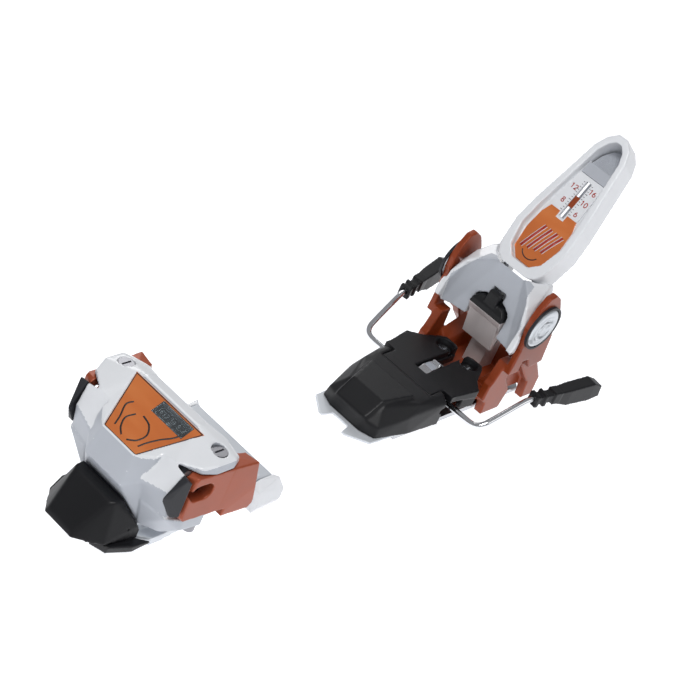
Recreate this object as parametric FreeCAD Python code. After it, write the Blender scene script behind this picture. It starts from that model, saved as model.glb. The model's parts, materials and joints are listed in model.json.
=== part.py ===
import FreeCAD, Part
import math
import os

# Alpine binding set: toe unit and heel unit with ski brake, millimetres.
# +X runs from the toe to the heel, +Y to the skier's right, +Z up from the ski surface (z = 0).
# The origin is the middle of the heel unit's screw pattern.

FIT = 0.05                 # running fit, radial
GAP = 0.4                  # free gap between parts that move past each other
PLAY = 0.3                 # gap between parts that only come close

# toe unit
TOE_PIN_X, TOE_PIN_Y = -268.8, 36.4
TOE_PIN_R, TOE_PIN_HEAD_R = 3.5, 4.4
TOE_BASE_T = 5.0
TOE_PLINTH_Z = 12.0
WING_LOW_Z, WING_TOP_Z = 30.8, 59.8
WING_FRONT_X = -289.0
ARM_TOP_Z = 67.0
TOE_SPRING_X, TOE_SPRING_Z = -281.0, 48.9
TOE_CUP_R, TOE_CUP_END_Y = 7.2, 33.4
TOE_CUP_IN_Y = 12.0
TOE_SCREW_R = 3.0
CAM_R = 2.1
CORE_Y = 21.5
LABEL_T = 0.8
LABEL_FRONT = (-300.3, 12.4, 53.8)
LABEL_REAR = (-271.3, 26.4, 69.2)
TOE_HOLE_X, TOE_HOLE_PITCH_X, TOE_HOLE_PITCH_Y, TOE_HOLE_R = -252.0, 66.0, 34.0, 2.75

# sole plate of the toe unit
AFD_TOP_Z, AFD_T = 22.8, 3.0
AFD_Y, AFD_REAR_X, AFD_FRONT_X = 31.0, -203.3, -240.0
AFD_FRAME_Y = 24.0
BLOCK_OUT_Y = 38.0
RAIL_Y, RAIL_T = 9.0, 3.0

# heel unit
TRACK_T = 3.5
TRACK_Y = 24.0
TRACK_FRONT_X, TRACK_REAR_X = -78.0, 58.0
SPINE_Y, SPINE_Z = 8.0, 8.5
HEEL_HOLE_PITCH_X, HEEL_HOLE_PITCH_Y, HEEL_HOLE_R = 72.0, 40.0, 2.75
PLATE_TOP_Z = 5.0
CAP_TOP_Z = 24.6
PEDAL_HINGE_X, PEDAL_HINGE_Z, PEDAL_PIN_R = -44.5, 15.5, 2.0
PEDAL_TOP_Z = 26.6
PEDAL_ARC_R = 12.4            # cap and pedal meet on this arc about the hinge
ARM_PIVOT_X, ARM_PIVOT_Z = -32.0, 14.0
WIRE_R = 2.0
SIDE_IN_Y, SIDE_OUT_Y = 25.0, 31.0
CARR_FLOOR_Z = 13.0
PIVOT_X, PIVOT_Z = 13.5, 71.4
PIVOT_R = 5.0
CHEEK_IN_Y, CHEEK_OUT_Y = 31.8, 36.0
DISC_R, RIM_R = 14.0, 15.6
PISTON_X, PISTON_R = 27.0, 6.5
CAM_ARC_R = 36.0
LEVER_PIN_X, LEVER_PIN_Z, LEVER_PIN_R = 31.0, 75.0, 2.5
LEVER_X, LEVER_Z, LEVER_ANGLE = 15.2, 90.0, 56.6
LEVER_DEPTH, FLOOR_DEPTH, FLOOR_T = 22.0, 6.0, 2.6
SCREW_DEPTH, SCREW_HEAD_R = -14.0, 4.2


def vec(x, y, z):
    return FreeCAD.Vector(x, y, z)


def box(x0, x1, y0, y1, z0, z1):
    return Part.makeBox(x1 - x0, y1 - y0, z1 - z0, vec(x0, y0, z0))


def rod(p, q, r):
    a, b = vec(*p), vec(*q)
    return Part.makeCylinder(r, (b - a).Length, a, b - a)


def slab(points, direction):
    """A flat polygon of 3-D points carried along direction."""
    wire = Part.makePolygon([vec(*p) for p in points] + [vec(*points[0])])
    return Part.Face(wire).extrude(vec(*direction))


def side_plate(outline, y0, y1):
    return slab([(x, y0, z) for x, z in outline], (0, y1 - y0, 0))


def plan_plate(outline, z0, z1):
    return slab([(x, y, z0) for x, y in outline], (0, 0, z1 - z0))


def both(points):
    """Half outline with y > 0 closed by its mirror image."""
    return points + [(x, -y) for x, y in reversed(points) if y > 0]


def mirrored(shape):
    return shape.mirror(vec(0, 0, 0), vec(0, 1, 0))


def fuse(first, *rest):
    return first.fuse(list(rest)).removeSplitter()


def cut(first, *rest):
    return first.cut(list(rest)).removeSplitter()


def convex(points, mirror=False):
    """The smallest convex solid round the points, with y mirrored if asked."""
    pts = [vec(*p) for p in points]
    if mirror:
        pts += [vec(x, -y, z) for x, y, z in points if abs(y) > 1e-6]
    planes = []
    for i in range(len(pts)):
        for j in range(i + 1, len(pts)):
            for k in range(j + 1, len(pts)):
                n = (pts[j] - pts[i]).cross(pts[k] - pts[i])
                if n.Length < 1e-6:
                    continue
                n.normalize()
                d = n.dot(pts[i])
                reach = [n.dot(p) - d for p in pts]
                if min(reach) > -1e-5:
                    n, d = n.negative(), -d
                elif max(reach) > 1e-5:
                    continue
                if not any((n - m).Length < 1e-4 and abs(d - e) < 1e-4 for m, e in planes):
                    planes.append((n, d))
    faces = []
    for n, d in planes:
        ring = [p for p in pts if abs(n.dot(p) - d) < 2e-5]
        centre = sum(ring, vec(0, 0, 0)) * (1.0 / len(ring))
        u = (ring[0] - centre).normalize()
        w = n.cross(u)
        ring.sort(key=lambda p: math.atan2((p - centre).dot(w), (p - centre).dot(u)))
        corners = []
        for i, p in enumerate(ring):
            before, after = p - ring[i - 1], ring[(i + 1) % len(ring)] - p
            if before.cross(after).Length > 1e-6:
                corners.append(p)
        faces.append(Part.Face(Part.makePolygon(corners + corners[:1])))
    return Part.Solid(Part.Shell(faces))


def save(name, shape):
    if shape.ShapeType != "Solid" and len(shape.Solids) == 1:
        shape = shape.Solids[0]
    shape.exportStep("parts/" + name + ".step")


def save_pair(name, shape):
    """The shape is the skier's-right one (+Y); the left one is its mirror image."""
    save(name + "_right", shape)
    save(name + "_left", mirrored(shape))


def screw_holes(x, pitch_x, pitch_y, radius, top):
    return [rod((x + sx * pitch_x / 2, sy * pitch_y / 2, -1), (x + sx * pitch_x / 2, sy * pitch_y / 2, top), radius)
            for sx in (-1, 1) for sy in (-1, 1)]


def label_z(x):
    rise = (LABEL_REAR[2] - LABEL_FRONT[2]) / (LABEL_REAR[0] - LABEL_FRONT[0])
    return LABEL_FRONT[2] + rise * (x - LABEL_FRONT[0])


# ---------------------------------------------------------------- toe unit

def toe_base():
    outline = both([(-303.2, 0), (-303.2, 12), (-283.2, 28.4), (-276, 28.5), (-262, 27),
                    (-244, AFD_FRAME_Y), (-202, AFD_FRAME_Y), (-202, 0)])
    plate = plan_plate(outline, 0, TOE_BASE_T)
    plinth = convex([(-297, 16.2, TOE_BASE_T - 1), (-297, 16.2, 7), (-292, 20.4, TOE_BASE_T - 1), (-290, CORE_Y, TOE_PLINTH_Z),
                     (-262, CORE_Y, TOE_PLINTH_Z), (-256, CORE_Y, TOE_BASE_T - 1)], True)
    holes = screw_holes(TOE_HOLE_X, TOE_HOLE_PITCH_X, TOE_HOLE_PITCH_Y, TOE_HOLE_R, TOE_PLINTH_Z + 1)
    return cut(fuse(plate, plinth), *holes)


def toe_lug():
    return convex([(-312.5, 13.6, 0), (-309, 23, 0), (-296, 28.6, 0.6), (-284, 29, 2.6), (-285, 29.5, 4.6),
                   (-297, 28.8, 5), (-309, 24, 4.6), (-312.5, 15, 4.6), (-303.6, 12.5, 0), (-303.6, 12.5, 4.6),
                   (-286, 28.6, 4.6), (-298, 24, 0)])


def toe_nose():
    shell = convex([(-323.8, 10.5, 5.6), (-322.6, 9.4, 8.6), (-318, 16.2, 5.4), (-317, 14.8, 9.8),
                    (-309, 13, 18.6), (-307.4, 14.2, 26.8), (-305.6, 15.6, 27), (-293.6, 16.6, 27.2),
                    (-293.6, 21, 18), (-291, 24.4, 14), (-291, 25, 5.4), (-311, 22, 5.4)], True)
    room = [box(-298.4, -285, -23, 23, 4, 13), box(-303.8, -285, -12.8, 12.8, 4, 13)]
    lugs = box(-313.5, -283, 11.5, 30, -1, 5.2)
    face = side_plate([(-307.4, 39), (-290.9, 11.4), (-280, 11.4), (-280, 39)], -30, 30)
    return cut(shell, face, lugs, mirrored(lugs), *room)


def toe_housing():
    core = convex([(-305, 13.9, 36.8), (-300.9, 12.6, 54.6), (-298.4, CORE_Y, 43.8), (-294, CORE_Y, 58),
                   (-270.4, CORE_Y, 70.6), (-262, CORE_Y, 68.6), (-256.4, CORE_Y, 58), (-256.4, CORE_Y, 12),
                   (-290, CORE_Y, 12), (-294.5, 17, 24.6)], True)
    front = convex([(-298.4, 23.7, 43.6), (-290.7, 30.2, 60.2), (-291.5, 37.4, 58.5), (-296.5, 36, 47),
                    (-292.4, 37.4, 31), (-291.5, 33, 27), (-294.5, 22, 27), (-289.7, 37.4, 58), (-289.7, 37.4, 31),
                    (-289.7, 20, 27), (-289.7, 20, 60.2), (-299.6, 20, 44)])
    arm = convex([(-290.7, 29.6, WING_TOP_Z + GAP), (-290.7, 29.6, 61.2), (-284, 41, 63.4), (-276, 44.6, 65.4),
                  (-264, 44.6, 65.8), (-257.6, 41.6, 63.2), (-257.6, 30, 66), (-269, 20, 70.7), (-262, 20, 68.8),
                  (-291, 20, 59.2), (-284, 42, WING_TOP_Z + GAP), (-276, 45.2, WING_TOP_Z + GAP),
                  (-264, 45.2, WING_TOP_Z + GAP), (-257.2, 42, WING_TOP_Z + GAP), (-257.2, 20, WING_TOP_Z + GAP)])
    foot = convex([(-296, 22, WING_LOW_Z - GAP), (-293, 38, WING_LOW_Z - GAP), (-284, 43, WING_LOW_Z - GAP),
                   (-269, 43, WING_LOW_Z - GAP), (-263.4, 38.6, WING_LOW_Z - GAP - 2), (-263.4, 20, WING_LOW_Z - GAP),
                   (-292, 22, 14), (-286, 32, 14), (-270, 36, 12.6), (-264, 33, 12.6), (-263.4, 20, 12.6),
                   (-290, 20, 12.6), (-283, 41.5, 22), (-267, 41.6, 20)])
    sides = [front, arm, foot]
    body = fuse(core, *(sides + [mirrored(s) for s in sides]))
    swing = rod((TOE_PIN_X, TOE_PIN_Y, WING_LOW_Z - GAP), (TOE_PIN_X, TOE_PIN_Y, WING_TOP_Z + GAP), 14.0)
    pin = rod((TOE_PIN_X, TOE_PIN_Y, 14), (TOE_PIN_X, TOE_PIN_Y, ARM_TOP_Z + 5), TOE_PIN_R + FIT)
    head = rod((TOE_PIN_X, TOE_PIN_Y, ARM_TOP_Z - 3.2), (TOE_PIN_X, TOE_PIN_Y, ARM_TOP_Z + 5), TOE_PIN_HEAD_R + 0.2)
    tunnel = rod((TOE_SPRING_X, -CORE_Y - 20, TOE_SPRING_Z), (TOE_SPRING_X, CORE_Y + 20, TOE_SPRING_Z),
                 TOE_CUP_R + FIT)
    seat = label_seat(0.0, 6.0)
    window = label_window(0.0, 3.6)
    return cut(body, swing, mirrored(swing), pin, mirrored(pin), head, mirrored(head), tunnel, seat, window)


def label_outline(inset, lift):
    """Corners of the label's trapezoid on the sloping top, shrunk by inset and lifted."""
    x0, y0 = LABEL_FRONT[0] + inset, LABEL_FRONT[1] - inset * 0.6
    x1, y1 = LABEL_REAR[0] - inset, LABEL_REAR[1] - inset
    return [(x0, y0, label_z(x0) + lift), (x1, y1, label_z(x1) + lift),
            (x1, -y1, label_z(x1) + lift), (x0, -y0, label_z(x0) + lift)]


def label_seat(inset, lift):
    return slab(label_outline(inset, -LABEL_T), (0, 0, LABEL_T + lift))


WINDOW_X0, WINDOW_X1, WINDOW_Y0, WINDOW_Y1 = -280.0, -272.6, -20.0, 3.0


def label_window(grow, depth):
    x0, x1 = WINDOW_X0 - grow, WINDOW_X1 + grow
    low = [(x0, WINDOW_Y0 - grow, label_z(x0) - LABEL_T - depth), (x1, WINDOW_Y0 - grow, label_z(x1) - LABEL_T - depth),
           (x1, WINDOW_Y1 + grow, label_z(x1) - LABEL_T - depth), (x0, WINDOW_Y1 + grow, label_z(x0) - LABEL_T - depth)]
    return slab(low, (0, 0, LABEL_T + depth))


def toe_label():
    return cut(label_seat(0.1, 0.0), label_window(0.1, 1.0))


def toe_window():
    return slab([(x, y, z - 0.9) for x, y, z in window_corners(0.0)], (0, 0, 1.0))


def window_corners(lift):
    return [(WINDOW_X0, WINDOW_Y0, label_z(WINDOW_X0) + lift), (WINDOW_X1, WINDOW_Y0, label_z(WINDOW_X1) + lift),
            (WINDOW_X1, WINDOW_Y1, label_z(WINDOW_X1) + lift), (WINDOW_X0, WINDOW_Y1, label_z(WINDOW_X0) + lift)]


def toe_scale():
    """Numbered strip on the rear half of the window's floor."""
    x0, x1 = WINDOW_X0 + 3.6, WINDOW_X1
    floor = [(x, y, label_z(x) - LABEL_T - 3.6) for x, y in
             ((x0, WINDOW_Y0 + 0.1), (x1, WINDOW_Y0 + 0.1), (x1, WINDOW_Y1 - 0.1), (x0, WINDOW_Y1 - 0.1))]
    return slab(floor, (0, 0, 1.0))


def toe_indicator():
    """Index that slides along the scale."""
    x0, x1, y = WINDOW_X0 + 0.5, WINDOW_X0 + 3.1, (WINDOW_Y0 + WINDOW_Y1) / 2
    floor = [(x0, y - 1.4, label_z(x0) - LABEL_T - 3.2), (x1, y - 1.4, label_z(x1) - LABEL_T - 3.2),
             (x1, y + 1.4, label_z(x1) - LABEL_T - 3.2), (x0, y + 1.4, label_z(x0) - LABEL_T - 3.2)]
    return slab(floor, (0, 0, 1.8))


def toe_wing():
    claw = convex([(-262, 34, WING_TOP_Z), (-247, 37, 58.6), (-246.2, 47, WING_TOP_Z), (-262, 45.6, WING_TOP_Z),
                   (-242, 37, 41), (-240.4, 47, 41), (-238.5, 37.5, 27), (-236.5, 46.4, 28), (-239, 46, 24.8),
                   (-262, 45, 25.4), (-262, 34, 25.4), (-241, 38, 24.8)])
    front = convex([(WING_FRONT_X, 38, 33), (WING_FRONT_X + 1.5, 43.4, 33), (WING_FRONT_X + 1.5, 43.8, 58),
                    (WING_FRONT_X, 38, 58), (-286, 43.6, WING_LOW_Z), (-286, 38, WING_LOW_Z),
                    (-260, 45.2, WING_LOW_Z), (-260, 38, WING_LOW_Z), (-260, 45.6, WING_TOP_Z),
                    (-260, 38, WING_TOP_Z), (-286, 44, WING_TOP_Z), (-286, 38, WING_TOP_Z)])
    under = box(-300, -258, 20, 60, 0, WING_LOW_Z)
    hub = rod((TOE_PIN_X, TOE_PIN_Y, WING_LOW_Z), (TOE_PIN_X, TOE_PIN_Y, WING_TOP_Z), 5.4)
    cams = [rod((TOE_SPRING_X, TOE_CUP_END_Y + PLAY + CAM_R, z), (TOE_SPRING_X, TOE_CUP_END_Y + PLAY + CAM_R, z + 4), CAM_R)
            for z in (TOE_SPRING_Z - 9.2, TOE_SPRING_Z + 5.2)]
    ribs = [box(TOE_SPRING_X - 1.8, TOE_SPRING_X + 1.8, TOE_CUP_END_Y + PLAY + CAM_R, 39, z, z + 4)
            for z in (TOE_SPRING_Z - 9.2, TOE_SPRING_Z + 5.2)]
    eyes = [rod((TOE_SPRING_X + dx, 30, TOE_SPRING_Z), (TOE_SPRING_X + dx, 50, TOE_SPRING_Z), 5.3) for dx in (-1.7, 2.7)]
    access = fuse(eyes[0], eyes[1], box(TOE_SPRING_X - 1.7, TOE_SPRING_X + 2.7, 30, 50, TOE_SPRING_Z - 5.3,
                                        TOE_SPRING_Z + 5.3))
    pin = rod((TOE_PIN_X, TOE_PIN_Y, 10), (TOE_PIN_X, TOE_PIN_Y, 80), TOE_PIN_R + FIT)
    arm_room = box(-300, -262.2, 20, 60, WING_TOP_Z - 0.3, 80)
    return cut(fuse(claw, front, hub, *(cams + ribs)), under, arm_room, access, pin)


def toe_pad():
    """Dark guard on the housing's flank, ahead of the wing."""
    return convex([(-300.6, 36.8, 46), (-297, 39.6, 47), (-292.6, 42, 59.4), (-291.6, 37.8, 59.6), (-289.9, 43.2, 57.6),
                   (-289.9, 37.8, 58.2), (-289.9, 43, 35), (-289.9, 37.8, 33.4), (-293.4, 40.6, 34),
                   (-292.4, 37.8, 33), (-296.5, 37.4, 47)])


def toe_pin():
    shank = rod((TOE_PIN_X, TOE_PIN_Y, 14), (TOE_PIN_X, TOE_PIN_Y, ARM_TOP_Z - 1.4), TOE_PIN_R)
    head = rod((TOE_PIN_X, TOE_PIN_Y, ARM_TOP_Z - 3.2), (TOE_PIN_X, TOE_PIN_Y, ARM_TOP_Z - 0.6), TOE_PIN_HEAD_R)
    slot = box(TOE_PIN_X - 3.2, TOE_PIN_X + 3.2, TOE_PIN_Y - 0.6, TOE_PIN_Y + 0.6, ARM_TOP_Z - 1.8, ARM_TOP_Z)
    return cut(fuse(shank, head), slot)


def toe_cup():
    """Spring cup that a wing pushes inwards; the far end is open for the setting screw."""
    cup = rod((TOE_SPRING_X, TOE_CUP_IN_Y, TOE_SPRING_Z), (TOE_SPRING_X, TOE_CUP_END_Y, TOE_SPRING_Z), TOE_CUP_R)
    bore = rod((TOE_SPRING_X, TOE_CUP_IN_Y - 1, TOE_SPRING_Z), (TOE_SPRING_X, TOE_CUP_END_Y + 1, TOE_SPRING_Z),
               TOE_SCREW_R + 1.2 + FIT)
    return cut(cup, bore)


def toe_setting_screw():
    y0, y1 = -TOE_CUP_END_Y + 3, -TOE_CUP_IN_Y - 1
    body = rod((TOE_SPRING_X, y0, TOE_SPRING_Z), (TOE_SPRING_X, y1, TOE_SPRING_Z), TOE_SCREW_R + 1.2)
    slot = box(TOE_SPRING_X - 0.6, TOE_SPRING_X + 0.6, y0 - 1, y0 + 2, TOE_SPRING_Z - 6, TOE_SPRING_Z + 6)
    return cut(body, slot)


def toe_core_pin():
    """Fixed guide in the far cup, the twin of the setting screw."""
    return rod((TOE_SPRING_X, TOE_CUP_IN_Y + 1, TOE_SPRING_Z), (TOE_SPRING_X, TOE_CUP_END_Y - 3, TOE_SPRING_Z),
               TOE_SCREW_R + 1.2)


def coil(centre, axis, length, radius, wire, turns):
    """Compression spring: a round wire wound on a helix from centre along axis."""
    path = Part.makeHelix(length / turns, length, radius)
    start = Part.Wire(Part.makeCircle(wire, vec(radius, 0, 0), vec(0, 1, 0)))
    shape = Part.Wire(path.Edges).makePipeShell([start], True, True)
    shape.Placement = FreeCAD.Placement(vec(*centre), FreeCAD.Rotation(vec(0, 0, 1), vec(*axis)))
    return shape


def toe_spring():
    reach = TOE_CUP_IN_Y - 1.6
    return coil((TOE_SPRING_X, -reach, TOE_SPRING_Z), (0, 1, 0), 2 * reach, 5.8, 1.1, 5)


def afd_frame():
    body = box(-238, -204.2, -AFD_FRAME_Y, AFD_FRAME_Y, TOE_BASE_T, AFD_TOP_Z - AFD_T - PLAY)
    rails = [box(-232, -208, s * RAIL_Y - RAIL_T / 2, s * RAIL_Y + RAIL_T / 2, TOE_BASE_T, AFD_TOP_Z - AFD_T - PLAY)
             for s in (-1, 1)]
    hollow = box(-233, -209, -AFD_FRAME_Y + 3, AFD_FRAME_Y - 3, 4, AFD_TOP_Z - AFD_T - 3)
    holes = screw_holes(TOE_HOLE_X, TOE_HOLE_PITCH_X, TOE_HOLE_PITCH_Y, TOE_HOLE_R + 2.5, AFD_TOP_Z)
    return cut(fuse(cut(body, hollow), *rails), *holes)


def afd_plate():
    outline = both([(AFD_FRONT_X, 0), (AFD_FRONT_X, 25), (AFD_REAR_X - 12, AFD_Y - 0.6), (AFD_REAR_X, AFD_Y),
                    (AFD_REAR_X, 0)])
    plate = plan_plate(outline, AFD_TOP_Z - AFD_T, AFD_TOP_Z)
    groove = box(AFD_REAR_X - 9.4, AFD_REAR_X - 8.0, -AFD_Y + 3, AFD_Y - 3, AFD_TOP_Z - 0.6, AFD_TOP_Z + 1)
    return cut(plate, groove)


def afd_block():
    """End block of the sliding sole plate, hanging outside the frame."""
    return convex([(-202.9, AFD_Y, AFD_TOP_Z), (-214, AFD_Y, AFD_TOP_Z), (-218, AFD_Y, AFD_TOP_Z - 3),
                   (-200.3, 34, AFD_TOP_Z), (-196, 37, 15), (-197.7, BLOCK_OUT_Y, 9), (-199.5, 36, 3.2),
                   (-216, BLOCK_OUT_Y, 8), (-216.4, 36, 3.2), (-216, 36, 17), (-216, AFD_Y, 3.2), (-198, AFD_Y, 3.2),
                   (-196.5, AFD_Y, 15)])


def afd_stop():
    """Small stop tab behind the sole plate."""
    return box(-204.2, -197.4, 12, 17, TOE_BASE_T + 6, 17.6)


# ---------------------------------------------------------------- heel unit

def heel_track():
    outline = both([(TRACK_FRONT_X, 0), (TRACK_FRONT_X, TRACK_Y), (TRACK_REAR_X - 8, TRACK_Y),
                    (TRACK_REAR_X, TRACK_Y - 8), (TRACK_REAR_X, 0)])
    plate = plan_plate(outline, 0, TRACK_T)
    spine = box(-24, TRACK_REAR_X, -SPINE_Y, SPINE_Y, TRACK_T - 0.5, SPINE_Z)
    stop = box(TRACK_REAR_X, TRACK_REAR_X + 4, -SPINE_Y, SPINE_Y, 0, SPINE_Z)
    teeth = [box(x, x + 2, -3, 3, SPINE_Z - 1.2, SPINE_Z + 1) for x in range(4, 52, 4)]
    holes = screw_holes(0, HEEL_HOLE_PITCH_X, HEEL_HOLE_PITCH_Y, HEEL_HOLE_R, TRACK_T + 1)
    return cut(fuse(plate, spine, stop), *(teeth + holes))


def heel_front_plate():
    outline = both([(-103.5, 0), (-104, 6.5), (-112, 8.5), (-112, 11), (-101.9, 23.6), (-82, 24.5), (-60, TRACK_Y),
                    (-60, 0)])
    return plan_plate(outline, TRACK_T, PLATE_TOP_Z)


def brake_cap():
    shell = convex([(-101, 12.7, PLATE_TOP_Z), (-100, 12.7, 13.6), (-97, 22, PLATE_TOP_Z), (-95.3, 21.2, 12),
                    (-88.3, 15, 21.6), (-86, 12.8, CAP_TOP_Z - 1.4), (-74, 26, 17.6), (-66, 24, CAP_TOP_Z - 0.6),
                    (-43.4, 29, PLATE_TOP_Z), (-43.4, 29, 21.6), (-43.4, 24.5, CAP_TOP_Z + 1), (-72, 27.5, PLATE_TOP_Z)], True)
    panel = convex([(-100.6, 12, 13), (-100, 12.4, 15.2), (-88.3, 12.8, 24), (-66.6, 18.2, 26.4), (-66.6, 18.2, 22),
                    (-90, 12, 20)], True)
    cheek = convex([(-58, 21.2, 6), (-58, 29, 6), (-58, 29, 19), (-50, 21.2, 20), (-43, 25.6, 0), (-43, 30.2, 0),
                    (-58, 26, 7), (-52, 29.4, 6), (-28, 25.6, 0.4), (-28, 30.2, 0.4), (-31, 21.2, 19.6),
                    (-31, 29.6, 19.4), (-26, 22.4, 12), (-26, 30.2, 11)])
    bearing = rod((ARM_PIVOT_X, 20, ARM_PIVOT_Z), (ARM_PIVOT_X, 35, ARM_PIVOT_Z), WIRE_R + FIT)
    hinge = rod((PEDAL_HINGE_X, -40, PEDAL_HINGE_Z), (PEDAL_HINGE_X, 40, PEDAL_HINGE_Z), PEDAL_PIN_R)
    side = [(-60, 11.2), (-60, 15), (-48, 18.6), (-41, 18.6), (-40.5, 11.2)]
    ears = [side_plate(side, s * 14 - 1.5, s * 14 + 1.5) for s in (-1, 1)]
    hollow = box(-88, -33, -21.2, 21.2, 4, 12.6)
    swing = rod((PEDAL_HINGE_X, -40, PEDAL_HINGE_Z), (PEDAL_HINGE_X, 40, PEDAL_HINGE_Z), PEDAL_ARC_R)
    swing = swing.common(box(-60, -30, -21.2, 21.2, 0, 40))
    above = box(-43.4, -20, -40, 40, 20.1, 40)
    shaft = rod((ARM_PIVOT_X, -20, ARM_PIVOT_Z), (ARM_PIVOT_X, 20, ARM_PIVOT_Z), WIRE_R + PLAY)
    body = cut(fuse(shell, panel), hollow, swing, above)
    return cut(fuse(body, cheek, mirrored(cheek), *ears), shaft, bearing, mirrored(bearing), hinge)


def pedal_flap():
    outline = [(-60, 20.6), (-60, 0), (-38.5, 0), (-38.5, 5.0), (-10, 4.4), (4.6, 4.2), (6.4, 8), (6.4, 15.6),
               (2.4, 18.6), (-9.4, 24.6), (-16.3, 31.9), (-36, 29), (-40, 29), (-40, 20.6)]
    top = plan_plate(outline, PEDAL_TOP_Z - 6, PEDAL_TOP_Z)
    reach = rod((PEDAL_HINGE_X, -1, PEDAL_HINGE_Z), (PEDAL_HINGE_X, 40, PEDAL_HINGE_Z), PEDAL_ARC_R - GAP)
    front_room = cut(box(-70, PEDAL_HINGE_X, -1, 40, 0, 40), reach)
    slope = slab([(-52, 0, PEDAL_TOP_Z + 3), (8, 0, PEDAL_TOP_Z + 3), (8, 0, PEDAL_TOP_Z + 0.2), (-52, 0, PEDAL_TOP_Z - 2)],
                 (0, 40, 0))
    skirt = plan_plate([(-27.4, 26.2), (-16.3, 28.9), (-9, 24.4), (-9, 27.9), (-16.3, 31.6), (-27.4, 29.6)], 13.4,
                       PEDAL_TOP_Z - 5)
    pocket = rod((-1.6, 10.4, 10), (-1.6, 10.4, 40), 6.2)
    return cut(fuse(top, skirt), slope, pocket, front_room)


def brake_pedal():
    flap = pedal_flap()
    web = box(-36, 4, -12, 12, PEDAL_TOP_Z - 10, PEDAL_TOP_Z - 5.4)
    barrel = rod((PEDAL_HINGE_X, -12, PEDAL_HINGE_Z), (PEDAL_HINGE_X, 12, PEDAL_HINGE_Z), 4.0)
    neck = convex([(-44.5, 12, 12.2), (-44.5, 12, 21), (-34, 12, 16.8), (-34, 12, 21)], True)
    bore = rod((PEDAL_HINGE_X, -40, PEDAL_HINGE_Z), (PEDAL_HINGE_X, 40, PEDAL_HINGE_Z), PEDAL_PIN_R + FIT)
    slot = box(-20, 10, -3.4, 3.4, 0, PEDAL_TOP_Z - 5)
    pockets = [rod((-1.6, s * 10.4, PEDAL_TOP_Z - 7), (-1.6, s * 10.4, 40), 6.2) for s in (-1, 1)]
    return cut(fuse(flap, mirrored(flap), web, barrel, neck), bore, slot, *pockets)


def pedal_screw():
    """Round steel screw head lying in the flap's pocket."""
    floor = PEDAL_TOP_Z - 7
    head = rod((-1.6, 10.4, floor), (-1.6, 10.4, floor + 3), 5.2)
    cross = [box(-5.2, 2.0, 9.8, 11.0, floor + 1.6, floor + 5), box(-2.2, -1.0, 6.8, 14.0, floor + 1.6, floor + 5)]
    return cut(head, *cross)


def pedal_clip():
    """Bright spring clip seen between the two flaps."""
    floor = PEDAL_TOP_Z - 5.4
    plate = convex([(-36, 4.0, floor), (-36, 4.0, floor + 1.4), (-16, 2.6, floor), (-16, 2.6, floor + 1.6),
                    (-24, 3.8, floor + 3.2), (-30, 3.8, floor + 3.0)], True)
    loop = rod((-21, -3.2, floor + 2.6), (-21, 3.2, floor + 2.6), 1.6)
    return fuse(plate, loop)


def pedal_pin():
    return rod((PEDAL_HINGE_X, -17, PEDAL_HINGE_Z), (PEDAL_HINGE_X, 17, PEDAL_HINGE_Z), PEDAL_PIN_R)


def swept_wire(points, radius):
    """Round wire through the points, with ball corners."""
    parts = [rod(a, b, radius) for a, b in zip(points, points[1:])]
    parts += [Part.makeSphere(radius, vec(*p)) for p in points[1:-1]]
    return fuse(parts[0], *parts[1:])


WIRE_PATH = [(ARM_PIVOT_X, 22.0, ARM_PIVOT_Z), (ARM_PIVOT_X, 46.0, ARM_PIVOT_Z), (-29.6, 50.2, 16.8),
             (-24.0, 51.6, 20.0), (-2.0, 55.6, 31.4), (4.5, 56.8, 32.9), (14.0, 58.6, 33.4)]
GRIP_DIR = (0.981, 0.183, 0.030)


def brake_wire():
    return swept_wire(WIRE_PATH, WIRE_R)


def along_grip(distance, side=0.0, up=0.0):
    x, y, z = WIRE_PATH[-2]
    dx, dy, dz = GRIP_DIR
    return (x + dx * distance - dy * side, y + dy * distance + dx * side, z + dz * distance + up)


def grip_block(d0, d1, half, low, high, taper=0.0):
    return convex([along_grip(d, s * h, up) for d, h, low_, high_ in
                   ((d0, half, low, high), (d1, half - taper, low + taper, high - taper))
                   for s in (-1, 1) for up in (low_, high_)])


def brake_grip():
    blocks = [grip_block(0, 3, 4.0, -4.0, 4.0), grip_block(2, 22, 3.0, -2.8, 2.8), grip_block(7, 9.6, 4.2, -4.2, 4.0),
              grip_block(16, 22, 4.0, -4.4, 4.2),
              convex([along_grip(d, s, up) for d, s, up in
                      ((20, -3.6, -4.6), (20, 3.6, -4.6), (20, -3.6, 3.8), (20, 3.6, 3.8), (30, -4.4, -7.4),
                       (30, 4.4, -7.0), (30, -4.4, 5.0), (30, 4.4, 5.0), (50, -4.6, -6.8), (50, 4.6, -6.4),
                       (50, -4.4, 6.8), (50, 4.4, 6.8), (59, -4.2, -4.4), (59, 4.2, -4.4), (58, -3.8, 3.6),
                       (58, 3.8, 3.6))])]
    wire = rod(along_grip(-5), along_grip(10), WIRE_R)
    tip = rod(along_grip(0), WIRE_PATH[-1], WIRE_R)
    return cut(fuse(blocks[0], *blocks[1:]), wire, tip)


def brake_shaft():
    """Cross shaft joining the two wires under the cap."""
    return rod((ARM_PIVOT_X, -22.0, ARM_PIVOT_Z), (ARM_PIVOT_X, 22.0, ARM_PIVOT_Z), WIRE_R)


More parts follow.
